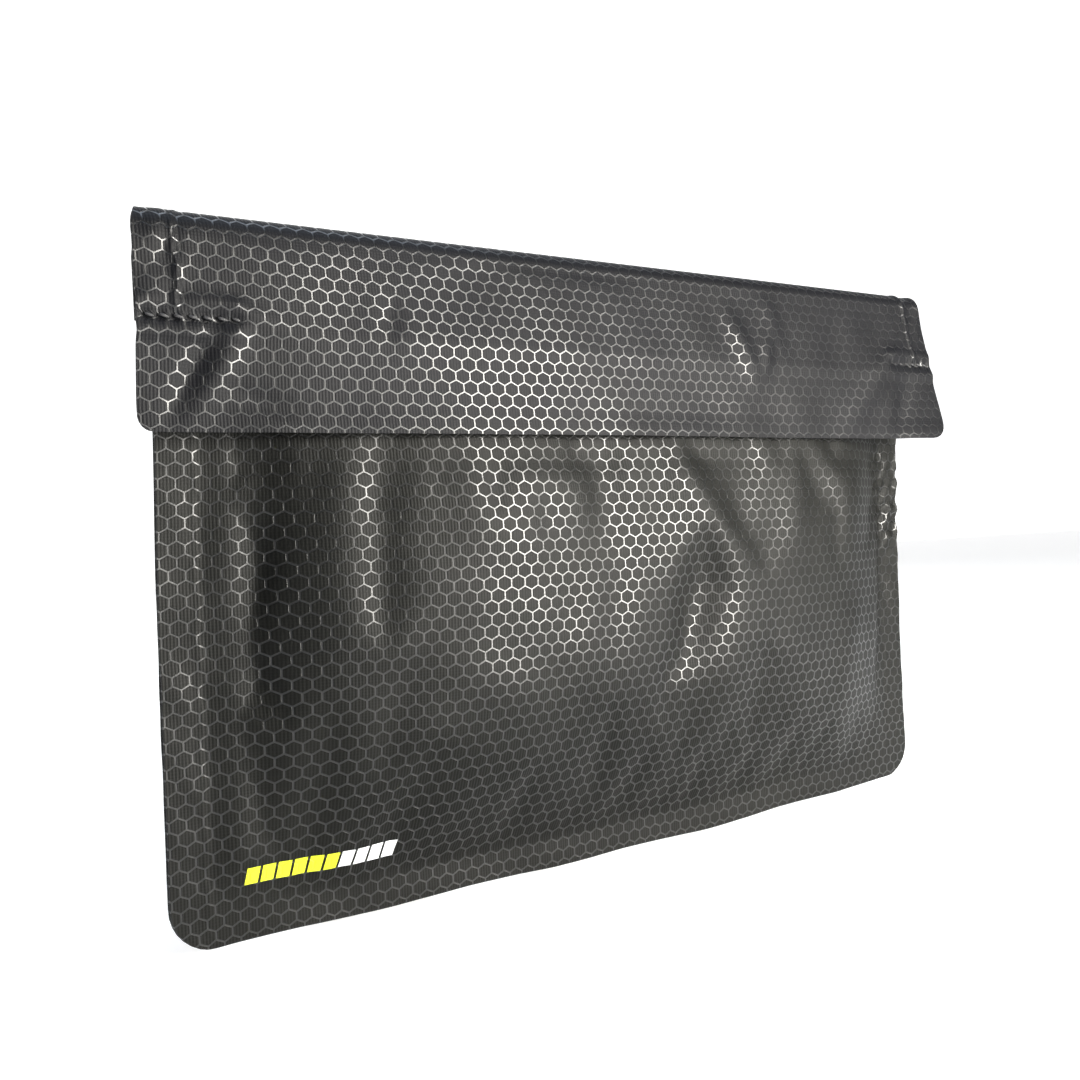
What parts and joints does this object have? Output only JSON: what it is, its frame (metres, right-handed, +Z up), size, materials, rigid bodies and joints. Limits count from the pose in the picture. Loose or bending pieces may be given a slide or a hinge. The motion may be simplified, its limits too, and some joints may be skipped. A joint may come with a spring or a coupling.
{
  "type": "lipo safe bag",
  "caption": "Flat fire-resistant pouch with a fold-over neck, a hook-and-loop mouth and a closing flap, for lithium polymer battery packs.",
  "frame": {"origin": "middle of the bottom edge, in the plane where the front and back panels are fused", "axes": "+Z up towards the top fold, +X to the right as seen from the front, front facing -Y"},
  "size_m": [0.3, 0.0246, 0.18],
  "materials": {
    "outer_cloth": "satin",
    "lining": "matte",
    "loop_tape": "matte",
    "hook_tape": "satin",
    "thread": "satin"
  },
  "bodies": {
    "pouch": {"front_panel": "outer_cloth", "back_panel": "outer_cloth", "side_weld_left": "outer_cloth", "side_weld_right": "outer_cloth", "bottom_weld": "outer_cloth", "top_fold": "outer_cloth", "front_liner": "lining", "back_liner": "lining", "closure_loop_strip": "loop_tape"},
    "neck": {"neck_panel": "outer_cloth", "neck_weld_left": "outer_cloth", "neck_weld_right": "outer_cloth", "neck_liner": "lining", "mouth_hook_strip": "hook_tape", "mouth_tack_left": "thread", "mouth_tack_right": "thread"},
    "lip": {"lip_panel": "outer_cloth", "lip_liner": "lining", "mouth_loop_strip": "loop_tape"},
    "flap": {"flap_panel": "outer_cloth", "flap_hook_strip": "hook_tape"}
  },
  "joints": [
    {"name": "neck_fold", "type": "hinge", "parent": "pouch", "child": "neck", "pos_m": [0, -0.00465, 0.1746], "axis": [-1, 0, 0], "range_deg": [0, 168], "deforming": ["top_fold"]},
    {"name": "mouth_open", "type": "hinge", "parent": "neck", "child": "lip", "pos_m": [0, -0.00555, 0.17326], "axis": [1, 0, 0], "range_deg": [0, 42]},
    {"name": "flap_peel", "type": "hinge", "parent": "neck", "child": "flap", "pos_m": [0, -0.01481, 0.15325], "axis": [-1, 0, 0], "range_deg": [0, 150]}
  ],
  "couplings": [
    {"joint": "mouth_open", "follows": "neck_fold", "ratio": 0.25}
  ]
}
